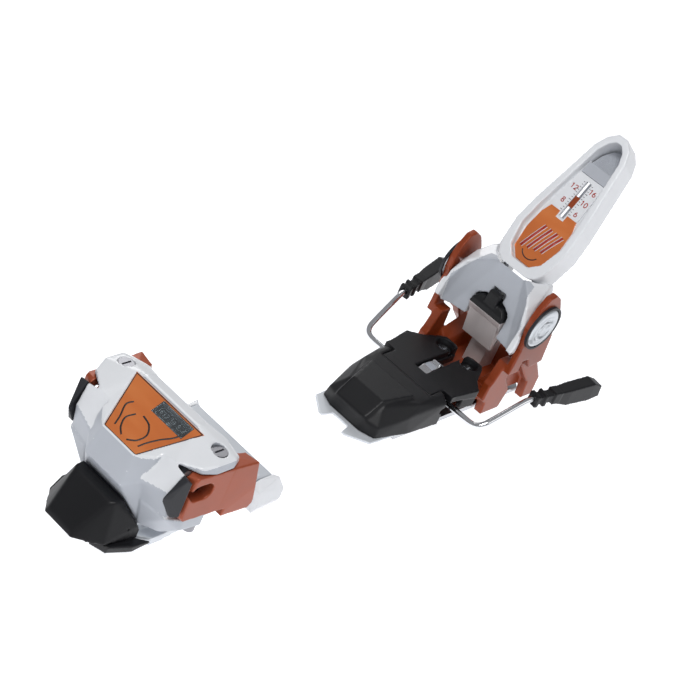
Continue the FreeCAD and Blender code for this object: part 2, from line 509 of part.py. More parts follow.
def carriage():
    low = side_plate([(3, 0), (22, 0), (24.5, 14), (14, 26), (12.8, 38), (20.4, 38), (28, 31), (45, 14.5), (48, 0),
                      (60, 0), (58.7, 15), (38, 40), (37, 41), (3, 41), (-1, 27), (-3, 24), (-3, 13), (1, 10)],
                     SIDE_IN_Y, SIDE_OUT_Y)
    neck = side_plate([(2.4, 36), (12.6, 36), (12.6, 44), (18.5, 44), (24.5, 36), (38, 38), (34, 60), (3.2, 58)],
                      SIDE_OUT_Y - 1.4, CHEEK_OUT_Y)
    disc_area = [(2.1, 56), (34, 56), (32, 66), (27, 82), (20.6, 91.2), (14, 95.4), (8, 94), (2.6, 86), (0.2, 78),
                 (0, 71.4), (2.1, 65)]
    cheek = side_plate(disc_area, CHEEK_IN_Y, CHEEK_OUT_Y)
    blend = convex([(12, SIDE_OUT_Y, 30), (20, SIDE_OUT_Y, 30), (6, CHEEK_OUT_Y, 50), (34, CHEEK_OUT_Y, 50),
                    (6, CHEEK_IN_Y, 50), (34, CHEEK_IN_Y, 50)])
    axle = rod((PIVOT_X, 20, PIVOT_Z), (PIVOT_X, 40, PIVOT_Z), PIVOT_R)
    hood_room = box(-10, 60, 20, CHEEK_IN_Y, 41.2, 100)
    window = side_plate([(14, 26), (28, 30), (18.5, 44.2), (12.6, 44.2)], 20, 40)
    half = cut(fuse(low, neck, cheek, blend), axle, window, hood_room)
    floor = box(-3, 50, -SIDE_IN_Y, SIDE_IN_Y, SPINE_Z + PLAY, CARR_FLOOR_Z)
    ramp = convex([(10, 15, CARR_FLOOR_Z), (10, SIDE_IN_Y, CARR_FLOOR_Z), (46, 15, CARR_FLOOR_Z),
                   (46, SIDE_IN_Y, CARR_FLOOR_Z), (12, SIDE_IN_Y, 26), (34, SIDE_IN_Y, 34), (14, 17.5, 20),
                   (34, 17.5, 26)])
    back = convex([(36, 15.2, CARR_FLOOR_Z), (50, 15.2, CARR_FLOOR_Z), (40, 15.2, 27), (44, 15.2, 27)], True)
    jaws = [box(-3, 50, s * (SPINE_Y + PLAY + 3.4) - 3.4, s * (SPINE_Y + PLAY + 3.4) + 3.4, TRACK_T + PLAY,
                SPINE_Z + PLAY + 0.5) for s in (-1, 1)]
    hole = rod((30, 0, SPINE_Z + 9.6), (60, 0, SPINE_Z + 9.6), 3.4)
    body = fuse(half, mirrored(half), floor, ramp, mirrored(ramp), back, *jaws)
    return cut(body, hole)


def pressure_screw():
    z = SPINE_Z + 9.6
    shank = rod((37, 0, z), (52, 0, z), 3.4 - FIT)
    head = rod((51, 0, z), (55, 0, z), 4.6)
    slot = box(53.6, 56, -0.6, 0.6, z - 6, z + 6)
    return cut(fuse(shank, head), slot)


def pivot_pin():
    return rod((PIVOT_X, 22.0, PIVOT_Z), (PIVOT_X, CHEEK_OUT_Y + 0.5, PIVOT_Z), PIVOT_R - FIT / 2)


def pivot_rim():
    ring = rod((PIVOT_X, CHEEK_OUT_Y, PIVOT_Z), (PIVOT_X, CHEEK_OUT_Y + 1.8, PIVOT_Z), RIM_R)
    return cut(ring, rod((PIVOT_X, CHEEK_OUT_Y - 1, PIVOT_Z), (PIVOT_X, CHEEK_OUT_Y + 3, PIVOT_Z), DISC_R + 0.05))


def pivot_disc():
    disc = rod((PIVOT_X, CHEEK_OUT_Y, PIVOT_Z), (PIVOT_X, CHEEK_OUT_Y + 1.6, PIVOT_Z), DISC_R)
    dome = Part.makeCone(DISC_R - 1, 9.0, 1.2, vec(PIVOT_X, CHEEK_OUT_Y + 1.6, PIVOT_Z), vec(0, 1, 0))
    socket = rod((PIVOT_X, CHEEK_OUT_Y - 1, PIVOT_Z), (PIVOT_X, CHEEK_OUT_Y + 0.5, PIVOT_Z), PIVOT_R)
    ring = cut(rod((PIVOT_X, CHEEK_OUT_Y + 1.6, PIVOT_Z), (PIVOT_X, CHEEK_OUT_Y + 5, PIVOT_Z), 6.6),
               rod((PIVOT_X, CHEEK_OUT_Y + 1, PIVOT_Z), (PIVOT_X, CHEEK_OUT_Y + 6, PIVOT_Z), 5.2))
    slot = box(PIVOT_X - 3.4, PIVOT_X + 3.4, CHEEK_OUT_Y + 1.4, CHEEK_OUT_Y + 5, PIVOT_Z - 0.7, PIVOT_Z + 0.7)
    return cut(fuse(disc, dome), ring, slot, socket)


HOOD_BODY = [(-0.2, 31.2, 56), (0.2, 31.2, 66), (1.4, 30.8, 71), (6, 29.4, 78.2), (9.6, 28.2, 81.9), (13.3, 27.2, 85.7),
             (24, 24, 90.4), (30, 23, 90.4), (15, 11, 90.2), (24, 12, 93.6), (30, 12, 94), (30, 29, 74), (30, 29, 47),
             (3, 30.4, 47.4), (-0.6, 31.2, 52.4), (3.4, 26.4, 80.2), (8.7, 21.4, 85.6)]
HOOD_LIP = [(-3.8, 32.8, 52.7), (-2.4, 33.6, 57.4), (-1.6, 32.9, 63.1), (-0.8, 31.9, 69.2), (1.4, 31.2, 71.6),
            (1.4, 33.2, 52.2), (1.4, 33.2, 60), (1.4, 32.4, 65), (1.4, 28, 50), (-3.8, 28, 52.7), (1.4, 28, 70)]
HEEL_ROOM = [(2.9, 29.6, 30), (2.9, 29.6, 48.7), (0.7, 29.3, 60.3), (-0.2, 28.9, 66.1), (1.2, 26.9, 75.8),
             (6.2, 22.9, 82.2), (10.9, 16.7, 86.8), (15.7, 9.5, 89.3), (6.1, 14.1, 30), (6.1, 14.1, 53),
             (3.4, 13.8, 60.5), (5.3, 10.1, 65.7), (7.4, 5, 72.5), (-30, 28, 30), (-30, 28, 70), (-20, 14, 110)]
TREADLE_ROOM = [(13.8, 20), (13.8, 60.5), (13.3, 62.8), (11.9, 64.4), (8.4, 66.4), (5.2, 67.8), (5.0, 73.4)]


def lever_dir():
    a = math.radians(LEVER_ANGLE)
    return math.cos(a), math.sin(a)


def lever_point(along, y, out):
    """A point given by its place along the lever, sideways, and out of its front face."""
    c, s = lever_dir()
    return (LEVER_X + c * along - s * out, y, LEVER_Z + s * along + c * out)


def lever_slab(half, out0, out1):
    points = half + [(a, -y) for a, y in reversed(half) if y > 0]
    c, s = lever_dir()
    depth = out1 - out0
    return slab([lever_point(a, y, out0) for a, y in points], (-s * depth, 0, c * depth))


def lever_room():
    """Room in the hood for the lever's lower end through its whole play."""
    outline = [(0 - 1.2, 0), (-1.2, 10.2), (3, 18), (8, 22.2), (30, 23), (30, 0)]
    return lever_slab(outline, -LEVER_DEPTH - 16, 12)


def heel_housing():
    lip = convex(HOOD_LIP).cut(box(-10, 10, 30.9, 40, 64.6, 80))
    arc = [(PIVOT_X + 29.4 * math.cos(math.radians(a)), PIVOT_Z + 29.4 * math.sin(math.radians(a)))
           for a in range(-120, 61, 12)]
    keep = side_plate(arc + [(14, 97), (-8, 97), (-8, 52)], -40, 40)
    tail = side_plate([(20, 46)] + arc[3:-2] + [(22, 88)], -15, 15)
    outer = fuse(convex(HOOD_BODY, True), lip, mirrored(lip))
    body = cut(fuse(outer.common(keep), tail), convex(HEEL_ROOM, True), lever_room())
    treadle_room = slab([(-6, y, z) for y, z in TREADLE_ROOM] + [(-6, -y, z) for y, z in reversed(TREADLE_ROOM)],
                        (26.1, 0, 0))
    bore = rod((PISTON_X, 0, 38), (PISTON_X, 0, 70), PISTON_R + 0.1)
    pivot = rod((PIVOT_X, 21.6, PIVOT_Z), (PIVOT_X, 45, PIVOT_Z), PIVOT_R + FIT)
    pin = rod((LEVER_PIN_X, -40, LEVER_PIN_Z), (LEVER_PIN_X, 40, LEVER_PIN_Z), LEVER_PIN_R)
    lugs = [box(LEVER_PIN_X - 7, LEVER_PIN_X + 12, s * 11.5 - 2.4, s * 11.5 + 2.4, LEVER_PIN_Z - 7, 99)
            for s in (-1, 1)]
    return cut(body, treadle_room, bore, pivot, mirrored(pivot), pin, *lugs)


def heel_treadle():
    """Lower jaw in the mouth: black body carrying the bar, the knob and the steel face."""
    upper = convex([(6.4, 13.2, 58), (7.0, 12.8, 61.8), (8.4, 10.4, 64.4), (9.4, 8, 65.6), (19.9, 13.2, 58),
                    (19.9, 12.8, 62), (19.9, 8, 66), (10.6, 13, 50), (19.4, 13, 50)], True)
    lower = convex([(9.2, 12.6, 54), (19.4, 12.6, 54), (18.8, 11, 36.4), (15.8, 11, 35)], True)
    knob = convex([(7.2, 4.5, 60), (8.4, 4.4, 71.6), (9.6, 4.2, 72.8), (12.6, 4.2, 72.8), (12.6, 4.5, 60)], True)
    return cut(fuse(upper, lower, knob), step_face())


def step_face():
    return convex([(8.2, 11.8, 56.4), (11.2, 11.8, 56.4), (12.9, 11.8, 34.4), (15.9, 11.8, 34.4)], True)


def heel_piston():
    shank = rod((PISTON_X, 0, 30), (PISTON_X, 0, 56), PISTON_R)
    return shank.common(rod((PIVOT_X, -10, PIVOT_Z), (PIVOT_X, 10, PIVOT_Z), CAM_ARC_R - GAP))


def heel_spring():
    return coil((PISTON_X, 0, 57.3), (0, 0, 1), 11.2, 4.8, 1.1, 3)


def heel_cam():
    """Hardened ramp on the carriage that the piston rides over."""
    block = convex([(20, 6.4, CARR_FLOOR_Z), (36, 6.4, CARR_FLOOR_Z), (20.6, 6.4, 42), (35, 6.4, 42)], True)
    return cut(block, rod((PIVOT_X, -10, PIVOT_Z), (PIVOT_X, 10, PIVOT_Z), CAM_ARC_R))


LEVER_OUT = [(0, 9.3), (2.6, 15), (8, 18.4), (27, 21), (43, 19.7), (69, 15.8), (92, 12.4), (100, 9), (105.5, 3.6)]
LEVER_IN = [(6, 6.4), (12, 12.4), (27, 16), (43, 14.8), (69, 11.4), (90, 8.6), (97, 5.6), (100.5, 2)]
LABEL_IN = [(7, 5.8), (13, 11.8), (27, 13.6), (40, 12.6), (46.6, 10.2), (46.6, 3.0), (42, 3.0), (42, 0)]
PANEL_IN = [(42, 0), (42, 3.0), (46.6, 3.0), (46.6, 10.4), (49, 10.6), (74, 9.6), (74, 0)]


def lever():
    body = lever_slab(LEVER_OUT, -LEVER_DEPTH, 0)
    slope = slab([lever_point(a, -40, o) for a, o in ((-5, 1), (0, 1), (0, 0), (7, -LEVER_DEPTH), (7, -60), (-5, -60))],
                 (0, 80, 0))
    recess = lever_slab(LEVER_IN, -FLOOR_DEPTH, 10)
    pad_recess = lever_slab([(82, 0), (82, 9.2), (90, 8.6), (97, 5.6), (100.5, 2), (100.5, 0)], -16.4, 0)
    inner = [(12, 0), (12, 14), (27, 17), (43, 16), (69, 12), (79, 10.4), (79, 0)]
    hollow = lever_slab(inner, -LEVER_DEPTH - 1, -FLOOR_DEPTH - FLOOR_T)
    lugs = [convex([(LEVER_PIN_X + dx, s * 11.5 + dy, LEVER_PIN_Z + dz) for dy in (-2, 2) for dx, dz in
                    ((-4.4, -2), (-2, -4.6), (2.4, -4.6), (5, -2), (8, 13), (-4, 13))]) for s in (-1, 1)]
    pin = rod((LEVER_PIN_X, -40, LEVER_PIN_Z), (LEVER_PIN_X, 40, LEVER_PIN_Z), LEVER_PIN_R + FIT)
    slot = lever_slab([(44, 0), (44, 2.0), (72, 2.0), (72, 0)], -30, 0)
    screw = rod(lever_point(60, 0, SCREW_DEPTH), lever_point(82.1, 0, SCREW_DEPTH), SCREW_HEAD_R + FIT)
    shape = cut(body, slope, recess, pad_recess, hollow, slot, screw)
    return cut(fuse(shape, *lugs), pin)


def lever_label():
    return lever_slab(LABEL_IN, -FLOOR_DEPTH, -FLOOR_DEPTH + 1.2)


def lever_scale():
    panel = lever_slab(PANEL_IN, -FLOOR_DEPTH, -FLOOR_DEPTH + 1.0)
    return cut(panel, lever_slab([(43, 0), (43, 2.0), (71, 2.0), (71, 0)], -10, 0))


def lever_indicator():
    return lever_slab([(52, 0), (52, 1.8), (60, 1.8), (60, 0)], -FLOOR_DEPTH - 2.0, -FLOOR_DEPTH + 0.4)


def lever_band():
    return lever_slab([(74.2, 0), (74.2, 9.4), (81.8, 9.0), (81.8, 0)], -FLOOR_DEPTH, -FLOOR_DEPTH - 0.4 + 2.0)


def lever_pad():
    """Grip pad sloping down into the end of the recess."""
    return convex([lever_point(a, y, o) for a, y, o in
                   ((82.2, 8.4, -7.2), (82.2, 8.4, -16.4), (90, 7.8, -11), (90, 7.8, -16.4), (96, 5.2, -14),
                    (96, 5.2, -16.4), (99.4, 2, -15.6), (99.4, 2, -16.4))], True)


def lever_pin():
    return rod((LEVER_PIN_X, -27.0, LEVER_PIN_Z), (LEVER_PIN_X, 27.0, LEVER_PIN_Z), LEVER_PIN_R)


def lever_screw():
    """Release setting screw, held in the wall at the end of the lever's hollow."""
    shank = rod(lever_point(75, 0, SCREW_DEPTH), lever_point(44, 0, SCREW_DEPTH), SCREW_HEAD_R - 1.2)
    head = rod(lever_point(81.9, 0, SCREW_DEPTH), lever_point(74, 0, SCREW_DEPTH), SCREW_HEAD_R)
    return fuse(shank, head)


def main():
    os.makedirs("parts", exist_ok=True)
    save("toe_base", toe_base())
    save_pair("toe_lug", toe_lug())
    save("toe_nose", toe_nose())
    save("toe_housing", toe_housing())
    save("toe_label", toe_label())
    save("toe_window", toe_window())
    save("toe_scale", toe_scale())
    save("toe_indicator", toe_indicator())
    save_pair("toe_wing", toe_wing())
    save_pair("toe_pad", toe_pad())
    save_pair("toe_pin", toe_pin())
    save_pair("toe_spring_cup", toe_cup())
    save("toe_setting_screw", toe_setting_screw())
    save("toe_guide_pin", toe_core_pin())
    save("toe_spring", toe_spring())
    save("afd_frame", afd_frame())
    save("afd_plate", afd_plate())
    save_pair("afd_block", afd_block())
    save("afd_stop", afd_stop())
    save("heel_track", heel_track())
    save("heel_front_plate", heel_front_plate())
    save("brake_cap", brake_cap())
    save("brake_pedal", brake_pedal())
    save_pair("pedal_screw", pedal_screw())
    save("pedal_clip", pedal_clip())
    save("pedal_pin", pedal_pin())
    save_pair("brake_wire", brake_wire())
    save_pair("brake_grip", brake_grip())
    save("brake_shaft", brake_shaft())
    save("carriage", carriage())
    save("pressure_screw", pressure_screw())
    save_pair("pivot_pin", pivot_pin())
    save_pair("pivot_rim", pivot_rim())
    save_pair("pivot_disc", pivot_disc())
    save("heel_housing", heel_housing())
    save("heel_treadle", heel_treadle())
    save("heel_step_plate", step_face())
    save("heel_piston", heel_piston())
    save("heel_spring", heel_spring())
    save("heel_cam", heel_cam())
    save("lever", lever())
    save("lever_label", lever_label())
    save("lever_scale", lever_scale())
    save("lever_indicator", lever_indicator())
    save("lever_band", lever_band())
    save("lever_pad", lever_pad())
    save("lever_pin", lever_pin())
    save("lever_screw", lever_screw())


main()
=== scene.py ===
import json
import math
import bpy
import bmesh
import numpy as np
from mathutils import Vector, Matrix


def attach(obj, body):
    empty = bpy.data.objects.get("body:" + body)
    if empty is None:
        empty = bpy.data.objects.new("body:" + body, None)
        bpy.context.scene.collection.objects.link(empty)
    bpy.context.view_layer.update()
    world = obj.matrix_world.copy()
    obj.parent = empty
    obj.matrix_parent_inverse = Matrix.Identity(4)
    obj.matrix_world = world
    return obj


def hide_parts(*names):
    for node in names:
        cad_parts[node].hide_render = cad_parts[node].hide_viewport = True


# Alpine ski binding: toe unit at -X, heel unit with brake at the origin, metres.

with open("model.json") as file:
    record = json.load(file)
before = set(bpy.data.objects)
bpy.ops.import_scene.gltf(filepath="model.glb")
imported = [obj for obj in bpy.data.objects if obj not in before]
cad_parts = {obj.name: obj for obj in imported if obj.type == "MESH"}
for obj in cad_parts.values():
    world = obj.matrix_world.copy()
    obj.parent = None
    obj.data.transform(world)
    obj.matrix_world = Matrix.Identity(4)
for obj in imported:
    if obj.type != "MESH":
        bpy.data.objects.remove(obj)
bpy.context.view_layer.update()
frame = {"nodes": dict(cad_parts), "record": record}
nodes = frame["nodes"]
bodyOf = {n: b for b, members in frame["record"]["behaviour"]["bodies"].items() for n in members}
slotOf = {s["node"]: s["material_slot"] for s in frame["record"]["subparts"]}
print("frame loaded:", len(nodes), "nodes")


# Finishes.
def newMaterial(name):
    m = bpy.data.materials.new(name)
    m.use_nodes = True
    return m, m.node_tree.nodes, m.node_tree.links, m.node_tree.nodes["Principled BSDF"]


# Noise on Object coordinates, stretched per axis.
def objectNoise(n, l, scale, detail=4.0, stretch=(1, 1, 1)):
    coords = n.new("ShaderNodeTexCoord")
    place = n.new("ShaderNodeMapping")
    place.inputs["Scale"].default_value = stretch
    noise = n.new("ShaderNodeTexNoise")
    noise.inputs["Scale"].default_value = scale
    noise.inputs["Detail"].default_value = detail
    l.new(coords.outputs["Object"], place.inputs["Vector"])
    l.new(place.outputs["Vector"], noise.inputs["Vector"])
    return noise


def ramp(n, l, source, stops):
    r = n.new("ShaderNodeValToRGB")
    while len(r.color_ramp.elements) < len(stops):
        r.color_ramp.elements.new(0.5)
    for e, (at, colour) in zip(r.color_ramp.elements, stops):
        e.position = at
        e.color = (*colour, 1)
    l.new(source, r.inputs["Fac"])
    return r


# Paint, plastic or metal: colour and roughness drift slowly, and a fine grain lifts the surface.
def surfaceFinish(name, colour, roughness, metallic=0.0, coat=0.0, coatRoughness=0.15, grain=900.0, bump=0.04,
                  shade=0.93, stretch=(1, 1, 1), specular=0.5):
    m, n, l, bsdf = newMaterial(name)
    bsdf.inputs["Metallic"].default_value = metallic
    bsdf.inputs["Coat Weight"].default_value = coat
    bsdf.inputs["Coat Roughness"].default_value = coatRoughness
    bsdf.inputs["Specular IOR Level"].default_value = specular
    slow = objectNoise(n, l, 45.0, 3.0, stretch)
    tone = ramp(n, l, slow.outputs["Fac"], [(0.3, [c * shade for c in colour]), (0.7, colour)])
    l.new(tone.outputs["Color"], bsdf.inputs["Base Color"])
    rough = n.new("ShaderNodeMapRange")
    rough.inputs["To Min"].default_value = roughness * 0.88
    rough.inputs["To Max"].default_value = roughness * 1.12
    l.new(slow.outputs["Fac"], rough.inputs["Value"])
    l.new(rough.outputs["Result"], bsdf.inputs["Roughness"])
    fine = objectNoise(n, l, grain, 2.0, stretch)
    lift = n.new("ShaderNodeBump")
    lift.inputs["Strength"].default_value = bump
    lift.inputs["Distance"].default_value = 0.0004
    l.new(fine.outputs["Fac"], lift.inputs["Height"])
    l.new(lift.outputs["Normal"], bsdf.inputs["Normal"])
    return m


finishes = {
    "white": surfaceFinish("glossWhite", (0.74, 0.755, 0.78), 0.26, coat=0.35, shade=0.96, bump=0.02),
    # Painted shade: a mid grey on the white shell where it lies in shade, in the hood's bowl and under the
    # toe housing.
    "paintedShade": surfaceFinish("greyPaintedShade", (0.44, 0.465, 0.51), 0.40, shade=0.95, bump=0.02),
    "greyShell": surfaceFinish("greyShell", (0.42, 0.44, 0.48), 0.38, shade=0.95),
    "black": surfaceFinish("grainedBlack", (0.006, 0.0062, 0.0075), 0.42, coat=0.0, grain=1600, bump=0.12,
                           specular=0.32),
    "darkPlastic": surfaceFinish("darkPlastic", (0.022, 0.023, 0.027), 0.45, grain=1400, bump=0.08,
                                 specular=0.3),
    "copper": surfaceFinish("copperPaint", (0.285, 0.046, 0.010), 0.36, metallic=0.2, coat=0.1, shade=0.8,
                            specular=0.35),
    "wingFace": surfaceFinish("wingPaint", (0.36, 0.075, 0.030), 0.38, metallic=0.2, coat=0.1, shade=0.84,
                              specular=0.35),
    "steel": surfaceFinish("satinSteel", (0.52, 0.53, 0.55), 0.30, metallic=1.0, grain=1400, bump=0.05),
    "bright": surfaceFinish("polishedWire", (0.78, 0.79, 0.81), 0.14, metallic=1.0, grain=500, bump=0.02),
    "spring": surfaceFinish("springSteel", (0.30, 0.30, 0.32), 0.35, metallic=1.0),
    "plate": surfaceFinish("palePlate", (0.70, 0.73, 0.77), 0.35, metallic=0.25, coat=0.2, shade=0.94),
    "padGrey": surfaceFinish("solePlateGrey", (0.50, 0.53, 0.57), 0.36, coat=0.2, shade=0.95),
    "brushed": surfaceFinish("brushedFace", (0.66, 0.60, 0.59), 0.36, metallic=0.35, grain=900, bump=0.25,
                             stretch=(1, 1, 0.03), shade=0.75),
    "disc": surfaceFinish("discAluminium", (0.62, 0.65, 0.68), 0.30, metallic=0.8, grain=1200, bump=0.05),
    "ink": surfaceFinish("blackInk", (0.012, 0.012, 0.013), 0.4, bump=0.0),
    "redInk": surfaceFinish("redInk", (0.42, 0.03, 0.015), 0.35, bump=0.0),
    "whiteInk": surfaceFinish("whiteInk", (0.80, 0.80, 0.81), 0.4, bump=0.0),
    "red": surfaceFinish("copperIndex", (0.45, 0.085, 0.025), 0.28, metallic=0.7, coat=0.5),
}


# Metallic orange foil: soft streaks across it, with fine flakes.
def orangeSheet():
    m, n, l, bsdf = newMaterial("orangeFoil")
    bsdf.inputs["Metallic"].default_value = 0.45
    bsdf.inputs["Coat Weight"].default_value = 0.6
    bsdf.inputs["Coat Roughness"].default_value = 0.08
    bsdf.inputs["Roughness"].default_value = 0.3
    streaks = objectNoise(n, l, 70.0, 2.0, (1, 0.2, 1))
    stops = [(0.25, (0.62, 0.15, 0.030)), (0.55, (0.74, 0.20, 0.045)), (0.8, (0.84, 0.28, 0.08))]
    tone = ramp(n, l, streaks.outputs["Fac"], stops)
    l.new(tone.outputs["Color"], bsdf.inputs["Base Color"])
    flakes = objectNoise(n, l, 2600.0, 1.0)
    lift = n.new("ShaderNodeBump")
    lift.inputs["Strength"].default_value = 0.08
    lift.inputs["Distance"].default_value = 0.0003
    l.new(flakes.outputs["Fac"], lift.inputs["Height"])
    l.new(lift.outputs["Normal"], bsdf.inputs["Normal"])
    return m


finishes["orange"] = orangeSheet()

slotFinish = {
    "white_shell": "white", "grey_shell": "greyShell", "black_plastic": "black",
    "dark_plastic": "darkPlastic", "orange_label": "orange", "copper_paint": "copper",
    "wing_paint": "wingFace", "scale_paper": "darkPlastic",
    "steel": "steel", "bright_steel": "bright", "spring_steel": "spring", "light_plate": "plate",
    "silver_disc": "disc", "pad_grey": "padGrey", "white_block": "white", "red_index": "red",
    "window_glass": "darkPlastic",
}


def glassSheet():
    m, n, l, bsdf = newMaterial("smokedGlass")
    bsdf.inputs["Transmission Weight"].default_value = 0.9
    bsdf.inputs["Roughness"].default_value = 0.05
    bsdf.inputs["IOR"].default_value = 1.3
    haze = objectNoise(n, l, 60.0)
    tone = ramp(n, l, haze.outputs["Fac"], [(0.3, (0.42, 0.46, 0.48)), (0.7, (0.46, 0.50, 0.52))])
    l.new(tone.outputs["Color"], bsdf.inputs["Base Color"])
    return m


finishes["glass"] = glassSheet()


def paint(obj, finishName):
    obj.data.materials.clear()
    obj.data.materials.append(finishes[finishName])
    return obj


for name, node in nodes.items():
    paint(node, slotFinish[slotOf[name]])
paint(nodes["toe_window"], "glass")
paint(nodes["heel_step_plate"], "brushed")
paint(nodes["heel_cam"], "brushed")
for name in ("toe_pin_left", "toe_pin_right"):
    paint(nodes[name], "spring")
print("finishes ready")


# Mesh makers.
def addMesh(name, points, faces, finishName, body, replaced=()):
    mesh = bpy.data.meshes.new(name)
    mesh.from_pydata(np.asarray(points, float).reshape(-1, 3).tolist(), [], faces)
    mesh.update()
    obj = bpy.data.objects.new(name, mesh)
    bpy.context.scene.collection.objects.link(obj)
    mesh.shade_smooth()
    paint(obj, finishName)
    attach(obj, body)
    if replaced:
        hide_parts(*replaced)
    return obj


# Quads of a grid whose points are numbered row by row.
def gridFaces(rows, columns, wrapRows=False, wrapColumns=False):
    i = np.arange(rows if wrapRows else rows - 1)
    j = np.arange(columns if wrapColumns else columns - 1)
    a, b = np.meshgrid(i, j, indexing="ij")
    c, d = (a + 1) % rows, (b + 1) % columns
    corners = [a * columns + b, c * columns + b, c * columns + d, a * columns + d]
    return np.stack(corners, -1).reshape(-1, 4).tolist()


# Catmull-Rom curve: each span is the cubic that passes its two ends with the slopes of their neighbours.
def smoothPath(points, perSpan=10):
    p = np.asarray(points, float)
    p = np.vstack([2 * p[0] - p[1], p, 2 * p[-1] - p[-2]])
    t = np.linspace(0, 1, perSpan, endpoint=False)[:, None, None]
    a, b, c, d = p[:-3], p[1:-2], p[2:-1], p[3:]
    curve = 0.5 * (2 * b + (c - a) * t + (2 * a - 5 * b + 4 * c - d) * t ** 2
                   + (3 * b - a - 3 * c + d) * t ** 3)
    return np.vstack([curve.transpose(1, 0, 2).reshape(-1, 3), p[-2][None]])


# A circle carried along the path, its frame turned as little as possible from point to point.
def tube(name, path, radius, finishName, body, sides=20, replaced=()):
    path = np.asarray(path, float)
    along = np.gradient(path, axis=0)
    along /= np.linalg.norm(along, axis=1)[:, None]
    side = np.cross(along[0], [0.3, 0.2, 0.9])
    frames = []
    for t in along:
        side = side - t * np.dot(side, t)
        side /= np.linalg.norm(side)
        frames.append((side, np.cross(t, side)))
    frames = np.array(frames)
    turn = np.linspace(0, 2 * math.pi, sides, endpoint=False)
    radius = np.broadcast_to(radius, len(path))[:, None, None]
    ring = frames[:, None, 0] * np.cos(turn)[None, :, None] + frames[:, None, 1] * np.sin(turn)[None, :, None]
    points = path[:, None] + ring * radius
    faces = gridFaces(len(path), sides, wrapColumns=True)
    count = len(path)
    faces = [f[::-1] for f in faces]
    faces += [list(range(sides)), list(range((count - 1) * sides, count * sides))[::-1]]
    obj = addMesh(name, points, faces, finishName, body, replaced)
    return fixNormals(obj)


def fixNormals(obj, merge=1e-7):
    b = bmesh.new()
    b.from_mesh(obj.data)
    bmesh.ops.remove_doubles(b, verts=b.verts, dist=merge)
    bmesh.ops.recalc_face_normals(b, faces=b.faces)
    b.to_mesh(obj.data)
    b.free()
    obj.data.update()
    return obj


# (radius, height) profile turned about the axis through centre; zero radius closes the ends.
def lathe(name, centre, axis, profile, finishName, body, sides=64, replaced=()):
    axis = np.asarray(axis, float) / np.linalg.norm(axis)
    u = np.cross(axis, [0.31, 0.42, 0.85])
    u /= np.linalg.norm(u)
    v = np.cross(axis, u)
    profile = np.asarray(profile, float)
    turn = np.linspace(0, 2 * math.pi, sides, endpoint=False)
    spoke = u[None] * np.cos(turn)[:, None] + v[None] * np.sin(turn)[:, None]
    spine = np.asarray(centre, float) + axis * profile[:, 1, None]
    points = spine[:, None] + spoke[None] * profile[:, 0, None, None]
    faces = gridFaces(len(profile), sides, wrapColumns=True)
    return fixNormals(addMesh(name, points, faces, finishName, body, replaced))


settleSpec = {"merge": 2e-6, "push": (0.5, -0.47), "sharpFrom": 0.03, "sharpSpan": 0.09, "spread": 0.8,
              "hold": 0.92}


# Each point moves towards the middle of its neighbours by its weight, then back a little less,
# so the volume stays.
def settle(points, edges, weight, rounds):
    count = np.bincount(edges.ravel(), minlength=len(points))[:, None]
    for r in range(rounds):
        for push in settleSpec["push"]:
            total = np.zeros_like(points)
            for k in range(3):
                total[:, k] = (np.bincount(edges[:, 0], points[edges[:, 1], k], len(points)) +
                               np.bincount(edges[:, 1], points[edges[:, 0], k], len(points)))
            points = points + (total / np.maximum(count, 1) - points) * weight[:, None] * push
    return points


# A CAD node remade with soft edges: its solid is resampled in even cells, then its points settle.
def moulded(name, grainSize, rounds, finishName=None, keep=0.5, extra=0, nodeName=None):
    nodeName = nodeName or name
    source = nodes[nodeName]
    obj = bpy.data.objects.new(name + "Moulded", source.data.copy())
    bpy.context.scene.collection.objects.link(obj)
    b = bmesh.new()
    b.from_mesh(obj.data)
    bmesh.ops.remove_doubles(b, verts=b.verts, dist=settleSpec["merge"])
    b.to_mesh(obj.data)
    b.free()
    cells = obj.modifiers.new("cells", "REMESH")
    cells.mode = "VOXEL"
    cells.voxel_size = grainSize
    cells.adaptivity = 0.0
    even = bpy.data.meshes.new_from_object(obj.evaluated_get(bpy.context.evaluated_depsgraph_get()))
    obj.modifiers.clear()
    obj.data = even
    points = np.zeros(len(even.vertices) * 3)
    even.vertices.foreach_get("co", points)
    points = points.reshape(-1, 3)
    edges = np.zeros(len(even.edges) * 2, np.int64)
    even.edges.foreach_get("vertices", edges)
    edges = edges.reshape(-1, 2)
    points = settle(points, edges, np.ones(len(points)), rounds)
    if extra:
        even.vertices.foreach_set("co", points.ravel())
        even.update()
        normals = np.zeros(len(points) * 3)
        even.vertices.foreach_get("normal", normals)
        normals = normals.reshape(-1, 3)
        bend = 1 - np.abs((normals[edges[:, 0]] * normals[edges[:, 1]]).sum(1))
        sharp = np.maximum(np.bincount(edges[:, 0], bend, len(points)),
                           np.bincount(edges[:, 1], bend, len(points)))
        sharp = np.clip((sharp - settleSpec["sharpFrom"]) / settleSpec["sharpSpan"], 0, 1)
        for _ in range(3):
            near = np.zeros(len(points))
            np.maximum.at(near, edges[:, 0], sharp[edges[:, 1]])
            np.maximum.at(near, edges[:, 1], sharp[edges[:, 0]])
            sharp = np.maximum(sharp, near * settleSpec["spread"])
        points = settle(points, edges, 1 - settleSpec["hold"] * sharp, extra)
    even.vertices.foreach_set("co", points.ravel())
    even.update()
    even.shade_smooth()
    if keep < 1:
        thin = obj.modifiers.new("thin", "DECIMATE")
        thin.ratio = keep
        obj.data = bpy.data.meshes.new_from_object(obj.evaluated_get(bpy.context.evaluated_depsgraph_get()))
        obj.modifiers.clear()
        obj.data.shade_smooth()
    paint(obj, finishName or slotFinish[slotOf[nodeName]])
    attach(obj, bodyOf[nodeName])
    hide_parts(nodeName)
    return obj


